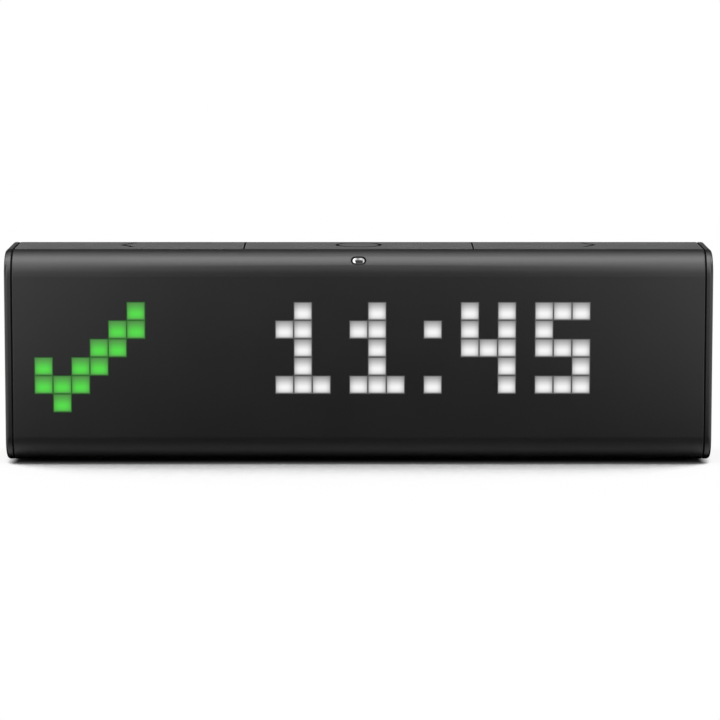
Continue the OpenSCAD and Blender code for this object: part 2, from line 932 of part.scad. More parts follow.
// Window for a key's switch, and slots for the key's legs
module key_frame_holes() {
    window = switch_w + 2 * clear;
    slot_w = leg_w + 2 * clear;
    slot_t = leg_t + 2 * clear;
    prism_z(frame_z - over, frame_top + over) {
        square([window, window], center = true);
        for (x = [-leg_x, leg_x], y = [-leg_y, leg_y])
            translate([x, y]) square([slot_w, slot_t], center = true);
    }
}

module frame_screws() {
    color(steel) for (x = frame_screw_xs, y = [-frame_screw_y, frame_screw_y])
        translate([x, y, frame_top]) screw(frame_screw_len);
}

module key_board() {
    color(board_green) difference() {
        block(-key_board_half, key_board_half, key_board_y0, key_board_y1, key_board_z, key_board_top);
        for (x = post_xs, y = post_ys)
            translate([x, y, key_board_z]) rotate([180, 0, 0]) screw_hole(small_board_t + over);
    }
}

// Square switch with a bore in which its stem slides
module switch_body(w, h, travel) {
    bore = stem_sink + travel + stem_room;
    difference() {
        translate([-w / 2, -w / 2, 0]) cube([w, w, h]);
        translate([0, 0, h - bore]) cylinder(bore + over, d = stem_d + 2 * clear);
    }
}

module key_switches() {
    color(part_black) for (place = [-1:1])
        translate([place * key_pitch, 0, key_board_top]) switch_body(switch_w, switch_h, key_travel);
}

module key_board_screws() {
    color(steel) for (x = post_xs, y = post_ys)
        translate([x, y, key_board_z]) rotate([180, 0, 0])
            screw(frame_z - key_board_z - screw_tip);
}

// Display

module diffuser_sheet() {
    color(part_white) translate([0, 0, mid_z]) prism_y(front_in, grid_y)
        square([display_w, display_h], center = true);
}

// Frame of square cells, one for each pixel
module light_grid() {
    cell = pixel_pitch - pixel_wall;
    color(part_white) translate([0, 0, mid_z]) prism_y(grid_y, led_y) difference() {
        square([display_w, display_h], center = true);
        at_pixels() square([cell, cell], center = true);
    }
}

module at_pixels() {
    for (col = [0:pixel_cols - 1], row = [0:pixel_rows - 1])
        translate([(col - (pixel_cols - 1) / 2) * pixel_pitch, (row - (pixel_rows - 1) / 2) * pixel_pitch])
            children();
}

module led_board() {
    color(board_green) difference() {
        prism_y(led_y, led_back) {
            band(-display_w / 2, display_w / 2, led_board_z, led_board_top);
            band(-tab_w / 2, tab_w / 2, led_board_top - root, tab_top);
        }
        for (x = led_screw_xs)
            translate([x, led_back, led_screw_z]) rotate([-90, 0, 0]) screw_hole(board_t + over);
    }
}

module display_leds() {
    color(part_white) translate([0, 0, mid_z]) prism_y(led_y - led_h, led_y)
        at_pixels() square([led_w, led_w], center = true);
}

module led_board_screws() {
    color(steel) for (x = led_screw_xs)
        translate([x, led_back, led_screw_z]) rotate([-90, 0, 0]) screw(led_screw_len);
}

module light_sensor() {
    color(part_black) block(-sensor_w / 2, sensor_w / 2, led_y - sensor_t, led_y,
        sensor_z - sensor_w / 2, sensor_z + sensor_w / 2);
}

module sensor_lens() {
    color(part_white) lens_axis() prism_z(lens_end_r, corner_r - lens_sink) pill(lens_w, lens_h);
}

// Main board and what stands on it

module main_board() {
    color(board_green) difference() {
        block(-main_half, main_half, main_y0, main_y1, main_z, main_top);
        for (x = [-main_hole_x, main_hole_x], y = main_hole_ys)
            translate([x, y, main_top]) screw_hole(board_t + over);
    }
}

module main_board_screws() {
    color(steel) for (x = [-main_hole_x, main_hole_x], y = main_hole_ys)
        translate([x, y, main_top]) screw(main_screw_len);
}

// Flat package that stands on the main board
module package(x, w, d, t) {
    y = (main_y0 + main_y1) / 2;
    block(x - w / 2, x + w / 2, y - d / 2, y + d / 2, main_top, main_top + t);
}

module processor() {
    color(part_black) package(chip_x, chip_w, chip_w, chip_t);
}

module memory_chip() {
    color(part_black) package(memory_x, memory_w, chip_w, memory_t);
}

module wifi_module() {
    color(steel) package(wifi_x, wifi_w, wifi_d, wifi_t);
}

// Outline of the inlet's mouth, narrower at its lower edge
module inlet_outline(inset) {
    w = inlet_w / 2 - inset;
    h = inlet_h / 2 - inset;
    polygon([[-w, h], [w, h], [w, inlet_bevel - h], [w - inlet_bevel, -h], [inlet_bevel - w, -h],
        [-w, inlet_bevel - h]]);
}

module usb_socket() {
    color(steel) translate([inlet_x, 0, inlet_z]) difference() {
        prism_y(inlet_y - inlet_len, inlet_y) inlet_outline(0);
        prism_y(inlet_y - inlet_len + inlet_wall, inlet_y + over) inlet_outline(inlet_wall);
    }
}

module usb_tongue() {
    y0 = inlet_y - inlet_len + inlet_wall;
    color(part_black) translate([inlet_x, 0, inlet_z]) prism_y(y0, y0 + tongue_len)
        translate([0, tongue_rise]) square([tongue_w, tongue_h], center = true);
}

// Ribbons

// Flat ribbon that leaves the LED board downwards and bends onto the main board
module display_ribbon() {
    bend_y = display_ribbon_y + ribbon_bend;
    bend_z = main_top + plug_h / 2 + ribbon_bend;
    half_t = ribbon_t / 2;
    color("sandybrown") translate([display_ribbon_x, 0, 0]) prism_x(-ribbon_w / 2, ribbon_w / 2) {
        band(display_ribbon_y - half_t, display_ribbon_y + half_t, bend_z, display_plug_z);
        translate([bend_y, bend_z]) intersection() {
            difference() {
                circle(ribbon_bend + half_t);
                circle(ribbon_bend - half_t);
            }
            translate([-2 * ribbon_bend, -2 * ribbon_bend]) square(2 * ribbon_bend);
        }
        band(bend_y, main_y0, bend_z - ribbon_bend - half_t, bend_z - ribbon_bend + half_t);
    }
}

module key_ribbon() {
    color("sandybrown") block(key_ribbon_x - ribbon_w / 2, key_ribbon_x + ribbon_w / 2,
        key_ribbon_y - ribbon_t / 2, key_ribbon_y + ribbon_t / 2, main_top + plug_h, key_board_z - plug_t);
}

module switch_ribbons() {
    x = side_board_back - plug_t / 2;
    color("sandybrown") for (side = [-1, 1])
        on_side(side) block(x - ribbon_t / 2, x + ribbon_t / 2,
            button_y - switch_ribbon_w / 2, button_y + switch_ribbon_w / 2,
            switch_plug_z + plug_h, key_board_z - plug_t);
}

module board_connectors() {
    switch_half = switch_plug_w / 2;
    color(part_white) {
        // Display ribbon, on the LED board and on the main board
        translate([display_ribbon_x, 0, 0]) {
            block(-plug_w / 2, plug_w / 2, led_back, led_back + plug_t,
                display_plug_z, display_plug_z + plug_h);
            block(-plug_w / 2, plug_w / 2, main_y0, main_y0 + plug_h, main_top, main_top + plug_h);
        }
        // Key ribbon, on the main board and under the key board
        translate([key_ribbon_x, key_ribbon_y, 0]) {
            block(-plug_w / 2, plug_w / 2, -plug_t / 2, plug_t / 2, main_top, main_top + plug_h);
            block(-plug_w / 2, plug_w / 2, -plug_t / 2, plug_t / 2, key_board_z - plug_t, key_board_z);
        }
        for (side = [-1, 1])
            on_side(side) {
                // Switch ribbon, on the switch board and under the key board
                translate([side_board_back, button_y, 0]) {
                    block(-plug_t, 0, -switch_half, switch_half, switch_plug_z, switch_plug_z + plug_h);
                    block(-plug_t, 0, -switch_half, switch_half, key_board_z - plug_t, key_board_z);
                }
                // Speaker leads
                block(lead_start - lead_plug_len, lead_start, speaker_y - lead_gap, speaker_y + lead_gap,
                    main_top, main_top + lead_plug_h);
            }
    }
}

// Side buttons

// Button in its cap, with a wider retainer behind the cap
module side_button(z) {
    color(button_black) translate([0, button_y, z]) {
        prism_x(button_in, body_w / 2 - button_sink) pill(button_len, button_h);
        prism_x(button_in, button_in + retainer_t)
            pill(button_len + 2 * retainer, button_h + 2 * retainer);
    }
}

module side_stem(z) {
    x0 = side_switch_x - stem_sink;
    color(part_white) translate([x0, button_y, z]) rotate([0, 90, 0]) cylinder(button_in - x0, d = stem_d);
}

module side_switch(z) {
    translate([side_board_x, button_y, z]) rotate([0, 90, 0])
        switch_body(side_switch_w, side_switch_h, button_travel);
}

module switch_board() {
    difference() {
        block(side_board_back, side_board_x, button_y - switch_board_d / 2, button_y + switch_board_d / 2,
            switch_board_z, switch_board_top);
        for (y = [-side_post_y, side_post_y])
            translate([side_board_back, button_y + y, button_z]) rotate([0, -90, 0])
                screw_hole(small_board_t + over);
    }
}

module power_button() {
    on_side(-1) side_button(button_z);
}

module power_stem() {
    on_side(-1) side_stem(button_z);
}

module power_switch() {
    color(part_black) on_side(-1) side_switch(button_z);
}

module left_switch_board() {
    color(board_green) on_side(-1) switch_board();
}

module volume_up_button() {
    side_button(button_z + button_pitch / 2);
}

module volume_down_button() {
    side_button(button_z - button_pitch / 2);
}

module volume_up_stem() {
    side_stem(button_z + button_pitch / 2);
}

module volume_down_stem() {
    side_stem(button_z - button_pitch / 2);
}

module volume_switches() {
    color(part_black) for (way = [-1, 1])
        side_switch(button_z + way * button_pitch / 2);
}

module right_switch_board() {
    color(board_green) switch_board();
}

module switch_board_screws() {
    color(steel) for (side = [-1, 1], y = [-side_post_y, side_post_y])
        on_side(side) translate([side_board_back, button_y + y, button_z]) rotate([0, -90, 0])
            screw(side_screw_len + small_board_t - screw_tip);
}

module floor_screws() {
    color(steel) for (x = floor_screw_xs)
        translate([x, floor_screw_y, floor_seat_z]) rotate([180, 0, 0])
            screw(floor_screw_len, floor_head_d, floor_head_h);
}

front_shell();
rear_cover();
foot_pad();
left_end_cap();
right_end_cap();
left_key();
centre_key();
right_key();
left_key_stem();
centre_key_stem();
right_key_stem();
key_frame();
frame_screws();
key_board();
key_switches();
key_board_screws();
diffuser_sheet();
light_grid();
led_board();
display_leds();
led_board_screws();
light_sensor();
sensor_lens();
main_board();
main_board_screws();
processor();
memory_chip();
wifi_module();
usb_socket();
usb_tongue();
display_ribbon();
key_ribbon();
switch_ribbons();
board_connectors();
left_speaker_frame();
left_speaker_cone();
left_speaker_magnet();
left_speaker_gasket();
right_speaker_frame();
right_speaker_cone();
right_speaker_magnet();
right_speaker_gasket();
speaker_leads();
power_button();
power_stem();
power_switch();
left_switch_board();
volume_up_button();
volume_down_button();
volume_up_stem();
volume_down_stem();
volume_switches();
right_switch_board();
switch_board_screws();
floor_screws();
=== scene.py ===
"""Looks of a smart wi-fi clock: a black bar with a pixel display, three top keys and side buttons.

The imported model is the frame. Every length is in metres, in the frame's own axes: X to the right
seen from the front, the front face looks along -Y, and Z is up.
"""

import json
import math

import bmesh
import bpy
from mathutils import Matrix, Vector


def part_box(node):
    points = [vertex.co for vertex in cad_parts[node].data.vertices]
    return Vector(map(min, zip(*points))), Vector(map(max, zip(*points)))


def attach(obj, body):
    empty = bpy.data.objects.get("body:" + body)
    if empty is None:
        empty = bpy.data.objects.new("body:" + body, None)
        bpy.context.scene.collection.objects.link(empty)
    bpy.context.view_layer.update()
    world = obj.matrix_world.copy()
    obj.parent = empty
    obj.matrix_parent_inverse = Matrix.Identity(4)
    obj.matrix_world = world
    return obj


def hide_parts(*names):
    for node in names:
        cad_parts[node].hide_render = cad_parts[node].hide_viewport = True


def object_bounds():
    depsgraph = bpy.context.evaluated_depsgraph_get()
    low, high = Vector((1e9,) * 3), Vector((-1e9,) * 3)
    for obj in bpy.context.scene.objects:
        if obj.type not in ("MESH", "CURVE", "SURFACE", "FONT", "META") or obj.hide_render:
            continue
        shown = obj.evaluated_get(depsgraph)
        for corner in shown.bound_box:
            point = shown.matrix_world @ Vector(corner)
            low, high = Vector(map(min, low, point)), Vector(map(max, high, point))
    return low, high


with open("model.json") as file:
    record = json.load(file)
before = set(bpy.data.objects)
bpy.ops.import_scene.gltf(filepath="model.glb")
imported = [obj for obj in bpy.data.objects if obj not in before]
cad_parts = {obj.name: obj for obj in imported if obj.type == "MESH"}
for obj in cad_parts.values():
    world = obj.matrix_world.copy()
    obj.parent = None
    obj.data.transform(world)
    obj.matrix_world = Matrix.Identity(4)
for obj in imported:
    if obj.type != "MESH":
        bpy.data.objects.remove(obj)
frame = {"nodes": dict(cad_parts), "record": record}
cad_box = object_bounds()
nodes = frame["nodes"]
MM = 0.001

# Places taken from the frame
shell_low, shell_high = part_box("front_shell")
grid_low, grid_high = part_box("light_grid")
lens_low, lens_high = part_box("sensor_lens")
front_y = shell_low.y
grid_middle = (grid_low + grid_high) / 2

# Display
PIXEL_COLS = 37
PIXEL_ROWS = 8
PIXEL_WALL = 0.3 * MM
PIXEL_PITCH = (grid_high.x - grid_low.x - PIXEL_WALL) / PIXEL_COLS
TILE_GAP = 1.5 * PIXEL_WALL
TILE_SIDE = PIXEL_PITCH - TILE_GAP
TILE_CORNER = 0.15 * MM
TILE_STEPS = 5
TILE_PROUD = 0.02 * MM
GLOW_PROUD = 0.01 * MM
TILE_ROOT = 0.1 * MM
TICK = ("     #", "    ##", "   ## ", "# ##  ", "###   ", " #    ")
DIGITS = {
    "1": (" # ", "## ", " # ", " # ", "###"),
    "4": ("# #", "# #", "###", "  #", "  #"),
    "5": ("###", "#  ", "###", "  #", "###"),
    ":": (" ", "#", " ", " ", "#"),
}
# Column and row of the upper left pixel of each picture, counted from the display's upper left corner
TICK_PLACE = (1, 1)
TIME_PLACE = (14, 1)
TIME_SHOWN = "11:45"
# Light of a pixel from its lower to its upper edge, and from a side to its middle: place and level
# Its dark lower edge is painted shade of the grid's lower wall
LIGHT_UPWARD_AND_PAINTED_SHADE = (
    (0.05, 0.1), (0.1, 0.55), (0.17, 0.8), (0.34, 0.96),
    (0.5, 0.85), (0.67, 0.6), (0.83, 0.37), (0.95, 0.22),
)
LIGHT_SIDE = ((0.05, 0.5), (0.1, 0.64), (0.2, 0.84), (0.33, 0.97))
LIGHT_ACROSS = LIGHT_SIDE + tuple((1 - place, level) for place, level in reversed(LIGHT_SIDE))
WHITE_CORE = (0.93, 0.93, 0.93)
WHITE_RIM = (0.12, 0.12, 0.12)
WHITE_GLOW = (0.09, 0.09, 0.09)
GREEN_CORE = (0.062, 0.7, 0.04)
GREEN_RIM = (0.05, 0.12, 0.035)
GREEN_GLOW = (0.012, 0.15, 0.008)
TILE_COLOUR = (0.02, 0.02, 0.02)
GLOW_VARIATION = 0.1

# Lens of the light sensor
LENS_SLOPE = math.radians(39)
LENS_HEIGHT = 2.6 * MM
LENS_STEPS = 8
# Rings of the lens from its foot over the rim to the window: inset and height in millimetres
LENS_RINGS = ((0.0, -0.3), (0.08, -0.1), (0.3, 0.0), (0.4, 0.0), (0.72, -0.06), (0.98, -0.18))
# Walls between rings that make the rim with its painted highlight: the first one and the first one past them
LENS_RIM = (4, 6)
# Painted highlight along the top of the rim from side to side: place and level
LENS_TOP_PAINTED_HIGHLIGHT = (
    (0.0, 1.0), (0.2, 0.9), (0.35, 0.5), (0.46, 0.25),
    (0.57, 0.5), (0.7, 0.6), (0.82, 0.3), (1.0, 0.3),
)
# Where painted highlight and dark change on the lens, from start to end, as shares of half its height
LENS_UPPER = (0, 0.3)
LENS_LOWER = (-0.7, -0.5)
WINDOW_EDGE = (-0.55, -0.85)
# The same from side to side, as shares of half its width
LENS_LEFT = (-0.5, -0.35)
LENS_RIGHT = (0.55, 0.65)
LENS_RIGHT_LEVEL = 0.5
# Dark of the window and of the rim away from its painted highlight, and the painted highlight itself
LENS_DARK = (0.01, 0.01, 0.01)
LENS_PAINTED_HIGHLIGHT = (0.85, 0.85, 0.85)
LENS_GLOSS = 0.15
WINDOW_PALE = (0.06, 0.06, 0.06)
WINDOW_CLOUD = 0.5 * MM
WINDOW_POLISH = (0.25, 0.35)

# Marks cut into the keys, and the matt paint on their floor
MARK_LINE = 0.94 * MM
MARK_DEPTH = 0.3 * MM
MARK_BACK = 2.5 * MM
MARK_OUT = 0.7 * MM
RING_DIAMETER = 13.34 * MM
RING_STEPS = 64
CHEVRON_WIDTH = 3.4 * MM
CHEVRON_DEPTH = 12.34 * MM
PAINT_RISE = 0.03 * MM
PAINT_ROOT = 0.05 * MM
PAINT_COLOUR = (0.002, 0.002, 0.002)

# Black rubber seal that lies in the seam beside each end cap
END_CAPS = ("left_end_cap", "right_end_cap")
CORNER_RADIUS = 7.2 * MM
SEAM_WIDTH = 0.45 * MM
SEAL_CLEARANCE = 0.05 * MM
SEAL_SUNK = 0.1 * MM
SEAL_THICKNESS = 1.2 * MM
SEAL_STEPS = 12
SEAL_COLOUR = (0.002, 0.002, 0.002)

# Finish of the body: the keys and the end caps are smoother than the shells
BODY_COLOUR = (0.004, 0.004, 0.0042)
BODY_ROUGHNESS = 0.42
BODY_GLOSS = 0.75
KEY_ROUGHNESS = 0.275
CAP_ROUGHNESS = 0.35
FINE_BUMP = 0.015

# Patterns of the materials: sizes, depths, and spreads of roughness and tint
CLOUD_SIZE = 17 * MM
CLOUD_DETAIL = 3
POLISH_SPREAD = 0.03
GRAIN_DEPTH = 0.02 * MM
DRAWN_LINE = 1.5 * MM
DRAWN_DETAIL = 4
DRAWN_DEPTH = 0.01 * MM
DRAWN_SPREAD = 0.1
DRAWN_TINT = 0.2
TRACK_PITCH = 2.4 * MM
TRACK_DEPTH = 0.03 * MM
DOT_PITCH = 3 * MM
DOT_EDGE = (0.12, 0.16)
FOAM_CELL = 0.35 * MM
FOAM_DEPTH = 0.15 * MM
FIBRE_SIZE = 0.8 * MM
FIBRE_DETAIL = 6
FIBRE_STRETCH = (1, 1, 5)
FIBRE_EDGE = (0.45, 0.75)
FIBRE_DEPTH = 0.08 * MM
WIRE_WAVE = 3.2 * MM
WIRE_EDGE = (0.4, 0.6)
WIRE_DEPTH = 0.03 * MM
SLEEVE_LINE = 0.4 * MM
SLEEVE_DETAIL = 3
SLEEVE_STRETCH = (0.1, 1, 1)
SLEEVE_POLISH = (0.4, 0.6)
SLEEVE_DEPTH = 0.02 * MM

# Rays that see the floor and the backdrop as white: the camera's, then those of reflections
SEEN_RAYS = ("Is Camera Ray", "Is Glossy Ray", "Is Transmission Ray")

# Floor: its shade is a level for each share of open sky, within a reach
FLOOR_HALF = 3.0
FLOOR_COLOUR = (0.85, 0.85, 0.85)
FLOOR_PALE = 1.0
SHADE_REACH = 0.25
SHADE_SAMPLES = 12
SHADE_STOPS = ((0.0, 0.0), (0.17, 0.02), (0.28, 0.08), (0.42, 0.12), (0.5, 0.2), (0.58, 0.93), (0.75, 1.0))
# The shade fades at the object's ends: where that starts inside the end, over which length, to which level
FADE_INSIDE = 3.1 * MM
FADE_LENGTH = 4.5 * MM
FADE_LEVEL = 0.92
# Painted dark reflection, on the floor in reflections only: where it starts and where it gets paler,
# measured out from the front face, how much of it is left from there on, its half width and its soft edge
DARK_REFLECTION_NEAR = -10 * MM
DARK_REFLECTION_FAR = 350 * MM
DARK_REFLECTION_FAR_SHARE = 0.6
DARK_REFLECTION_HALF = 108 * MM
DARK_REFLECTION_SOFT = 25 * MM
# Painted shade of the floor under the object in reflections: how far it reaches out, and its soft edge
CONTACT_OUT = -0.6 * MM
CONTACT_SOFT = 3.2 * MM

# Backdrop in reflections: directions along Y where it turns from dark in front to white at the sides, and
# along Z where it ends below the ceiling
FRONT_DIM = -0.95
FRONT_WHITE = -0.5
BACKDROP_FULL = 0.06
BACKDROP_END = 0.16
CEILING_LEVEL = 0.03

# Lamps: those at the sides and beyond the ends have a twin on the left
TOP_LAMP_PLACE = (0, -0.15, 0.65)
TOP_LAMP_AIM = (0, -0.15, 0)
TOP_LAMP_SIZE = (0.7, 0.45)
TOP_LAMP_POWER = 3.75
WIDE_LAMP_SIZE = (0.7, 1.05)
WIDE_LAMP_POWER = 2.05
FRONT_LAMP_PLACE = (0, -0.53, 0.49)
FRONT_LAMP_AIM = (0, 0, 0.03)
FRONT_LAMP_SIZE = (1.2, 0.29)
FRONT_LAMP_POWER = 0.6
SIDE_LAMP_PLACE = (0.2, -0.22, 0.16)
SIDE_LAMP_AIM = (0.1, 0, 0.03)
SIDE_LAMP_SIZE = (0.16, 0.24)
SIDE_LAMP_POWER = 0.24
END_LAMP_PLACE = (0.45, 0.02, 0.42)
END_LAMP_AIM = (0.1, 0, 0.06)
END_LAMP_SIZE = (0.3, 0.2)
END_LAMP_POWER = 1.2

# Camera of the square picture
CAMERA_ELEVATION = math.radians(7.2)
CAMERA_DISTANCE = 1058.2 * MM
CAMERA_AIM = (0.41 * MM, 0, 27.84 * MM)
CAMERA_SENSOR = 36
CAMERA_LENS = 183.22


def node_material(name):
    """New material with a Principled shader: returns the material, its nodes, links and shader."""
    material = bpy.data.materials.new(name)
    material.use_nodes = True
    tree = material.node_tree
    return material, tree.nodes, tree.links, tree.nodes["Principled BSDF"]


def add(tree, kind, **values):
    """New shader node with its properties set."""
    made = tree.new(kind)
    for key, value in values.items():
        setattr(made, key, value)
    return made


def own_place(tree):
    """Place on the piece, in its own axes."""
    return add(tree, "ShaderNodeTexCoord").outputs["Object"]


def axes_of(tree, links, place):
    """Place split into its outputs X, Y and Z."""
    split = add(tree, "ShaderNodeSeparateXYZ")
    links.new(place, split.inputs["Vector"])
    return split.outputs


def stretched(tree, links, place, scale):
    """Place with each axis scaled."""
    mapping = add(tree, "ShaderNodeMapping")
    mapping.inputs["Scale"].default_value = scale
    links.new(place, mapping.inputs["Vector"])
    return mapping.outputs["Vector"]


def noise(tree, links, place, size, detail=2):
    """Noise with features of a given size."""
    texture = add(tree, "ShaderNodeTexNoise")
    texture.inputs["Scale"].default_value = 1 / size
    texture.inputs["Detail"].default_value = detail
    links.new(place, texture.inputs["Vector"])
    return texture.outputs["Fac"]


def between(tree, links, factor, low, high):
    """Colour between two colours."""
    mix = add(tree, "ShaderNodeMix", data_type="RGBA")
    mix.inputs["A"].default_value = (*low, 1)
    mix.inputs["B"].default_value = (*high, 1)
    links.new(factor, mix.inputs["Factor"])
    return mix.outputs["Result"]


def ranged(tree, links, source, low, high, to_low, to_high, kind="SMOOTHSTEP", clamp=True):
    """Source mapped from one range to another."""
    mapped = add(tree, "ShaderNodeMapRange", interpolation_type=kind, clamp=clamp)
    mapped.inputs["From Min"].default_value = low
    mapped.inputs["From Max"].default_value = high
    mapped.inputs["To Min"].default_value = to_low
    mapped.inputs["To Max"].default_value = to_high
    links.new(source, mapped.inputs["Value"])
    return mapped.outputs["Result"]


def calculated(tree, links, operation, first, second=0):
    """Result of an operation on an output and, where it takes two, another output or a number."""
    step = add(tree, "ShaderNodeMath", operation=operation)
    links.new(first, step.inputs[0])
    if isinstance(second, (int, float)):
        step.inputs[1].default_value = second
    else:
        links.new(second, step.inputs[1])
    return step.outputs["Value"]


def ramp_of(tree, links, source, stops, kind="CARDINAL"):
    """Grey level from a ramp with stops given as place and level."""
    ramp = add(tree, "ShaderNodeValToRGB")
    ramp.color_ramp.interpolation = kind
    elements = ramp.color_ramp.elements
    while len(elements) > 1:
        elements.remove(elements[0])
    elements[0].position = stops[0][0]
    elements[0].color = (stops[0][1],) * 3 + (1,)
    for position, level in stops[1:]:
        stop = elements.new(position)
        stop.color = (level,) * 3 + (1,)
    links.new(source, ramp.inputs["Fac"])
    return ramp.outputs["Color"]


def any_of(tree, links, outputs):
    """Largest of several outputs, as one output."""
    result = outputs[0]
    for output in outputs[1:]:
        result = calculated(tree, links, "MAXIMUM", result, output)
    return result


def relief(tree, links, shader, height, strength, depth):
    """Bump of the shader from a height."""
    bump = add(tree, "ShaderNodeBump")
    bump.inputs["Strength"].default_value = strength
    bump.inputs["Distance"].default_value = depth
    links.new(height, bump.inputs["Height"])
    links.new(bump.outputs["Normal"], shader.inputs["Normal"])


def tinted(colour, share):
    """Colour made darker or lighter by a share."""
    return [channel * (1 + share) for channel in colour]


def scaled(shares, length):
    """Each share of a length."""
    return [share * length for share in shares]


def moulded(name, colour, roughness, gloss=0.5, grain=0.2 * MM, bump=0.05, variation=0.15):
    """Moulded plastic or rubber: fine grain, and a little change of colour and roughness."""
    material, tree, links, shader = node_material(name)
    place = own_place(tree)
    cloud = noise(tree, links, place, CLOUD_SIZE, CLOUD_DETAIL)
    tint = between(tree, links, cloud, tinted(colour, -variation), tinted(colour, variation))
    links.new(tint, shader.inputs["Base Color"])
    shader.inputs["Specular IOR Level"].default_value = gloss
    polish = ranged(tree, links, cloud, 0, 1, roughness - POLISH_SPREAD, roughness + POLISH_SPREAD, "LINEAR")
    links.new(polish, shader.inputs["Roughness"])
    relief(tree, links, shader, noise(tree, links, place, grain), bump, GRAIN_DEPTH)
    return material


def metal(name, colour, roughness, brushed=(1, 1, 12)):
    """Plated metal with fine drawn lines."""
    material, tree, links, shader = node_material(name)
    place = stretched(tree, links, own_place(tree), brushed)
    lines = noise(tree, links, place, DRAWN_LINE, DRAWN_DETAIL)
    tint = between(tree, links, lines, tinted(colour, -DRAWN_TINT), tinted(colour, DRAWN_TINT))
    links.new(tint, shader.inputs["Base Color"])
    shader.inputs["Metallic"].default_value = 1
    polish = ranged(tree, links, lines, 0, 1, roughness - DRAWN_SPREAD, roughness + DRAWN_SPREAD, "LINEAR")
    links.new(polish, shader.inputs["Roughness"])
    relief(tree, links, shader, lines, strength=0.1, depth=DRAWN_DEPTH)
    return material


def circuit_board():
    """Green lacquer over copper tracks, with tinned dots."""
    lacquer = (0.01, 0.06, 0.03)
    lacquer_on_track = (0.03, 0.13, 0.06)
    tin_colour = (0.6, 0.6, 0.58)
    material, tree, links, shader = node_material("circuit_board")
    place = own_place(tree)
    tracks = add(tree, "ShaderNodeTexBrick", offset=0.5)
    tracks.inputs["Scale"].default_value = 1 / TRACK_PITCH
    tracks.inputs["Mortar Size"].default_value = 0.06
    links.new(place, tracks.inputs["Vector"])
    dots = add(tree, "ShaderNodeTexVoronoi")
    dots.inputs["Scale"].default_value = 1 / DOT_PITCH
    links.new(place, dots.inputs["Vector"])
    tin = ranged(tree, links, dots.outputs["Distance"], *DOT_EDGE, 1, 0)
    plated = add(tree, "ShaderNodeMix", data_type="RGBA")
    plated.inputs["B"].default_value = (*tin_colour, 1)
    links.new(tin, plated.inputs["Factor"])
    links.new(between(tree, links, tracks.outputs["Fac"], lacquer, lacquer_on_track), plated.inputs["A"])
    links.new(plated.outputs["Result"], shader.inputs["Base Color"])
    links.new(tin, shader.inputs["Metallic"])
    shader.inputs["Roughness"].default_value = 0.3
    relief(tree, links, shader, tracks.outputs["Fac"], strength=0.3, depth=TRACK_DEPTH)
    return material


def foam():
    """Open-celled black foam."""
    cell_middle = (0.008, 0.008, 0.008)
    cell_wall = (0.035, 0.035, 0.035)
    material, tree, links, shader = node_material("gasket_foam")
    cells = add(tree, "ShaderNodeTexVoronoi")
    cells.inputs["Scale"].default_value = 1 / FOAM_CELL
    links.new(own_place(tree), cells.inputs["Vector"])
    tint = between(tree, links, cells.outputs["Distance"], cell_middle, cell_wall)
    links.new(tint, shader.inputs["Base Color"])
    shader.inputs["Roughness"].default_value = 0.95
    relief(tree, links, shader, cells.outputs["Distance"], strength=0.8, depth=FOAM_DEPTH)
    return material


def cone_paper():
    """Black pressed paper with pale fibres."""
    paper = (0.012, 0.012, 0.012)
    pale_fibre = (0.05, 0.05, 0.05)
    material, tree, links, shader = node_material("cone_paper")
    place = stretched(tree, links, own_place(tree), FIBRE_STRETCH)
    fibres = noise(tree, links, place, FIBRE_SIZE, FIBRE_DETAIL)
    tint = between(tree, links, ranged(tree, links, fibres, *FIBRE_EDGE, 0, 1), paper, pale_fibre)
    links.new(tint, shader.inputs["Base Color"])
    shader.inputs["Roughness"].default_value = 0.85
    relief(tree, links, shader, fibres, strength=0.4, depth=FIBRE_DEPTH)
    return material


def ribbon_film():
    """Amber film over a row of flat conductors."""
    film = (0.42, 0.2, 0.05)
    film_on_wire = (0.6, 0.34, 0.12)
    material, tree, links, shader = node_material("ribbon_film")
    wires = add(tree, "ShaderNodeTexWave", bands_direction="X")
    wires.inputs["Scale"].default_value = 1 / WIRE_WAVE
    links.new(own_place(tree), wires.inputs["Vector"])
    band = ranged(tree, links, wires.outputs["Fac"], *WIRE_EDGE, 0, 1)
    links.new(between(tree, links, band, film, film_on_wire), shader.inputs["Base Color"])
    shader.inputs["Roughness"].default_value = 0.25
    relief(tree, links, shader, band, strength=0.3, depth=WIRE_DEPTH)
    return material


def lead_sleeve():
    """Soft red sleeve with faint drawn lines."""
    dark_red = (0.38, 0.02, 0.03)
    pale_red = (0.5, 0.04, 0.05)
    material, tree, links, shader = node_material("lead_sleeve")
    place = stretched(tree, links, own_place(tree), SLEEVE_STRETCH)
    lines = noise(tree, links, place, SLEEVE_LINE, SLEEVE_DETAIL)
    links.new(between(tree, links, lines, dark_red, pale_red), shader.inputs["Base Color"])
    links.new(ranged(tree, links, lines, 0, 1, *SLEEVE_POLISH), shader.inputs["Roughness"])
    relief(tree, links, shader, lines, strength=0.2, depth=SLEEVE_DEPTH)
    return material


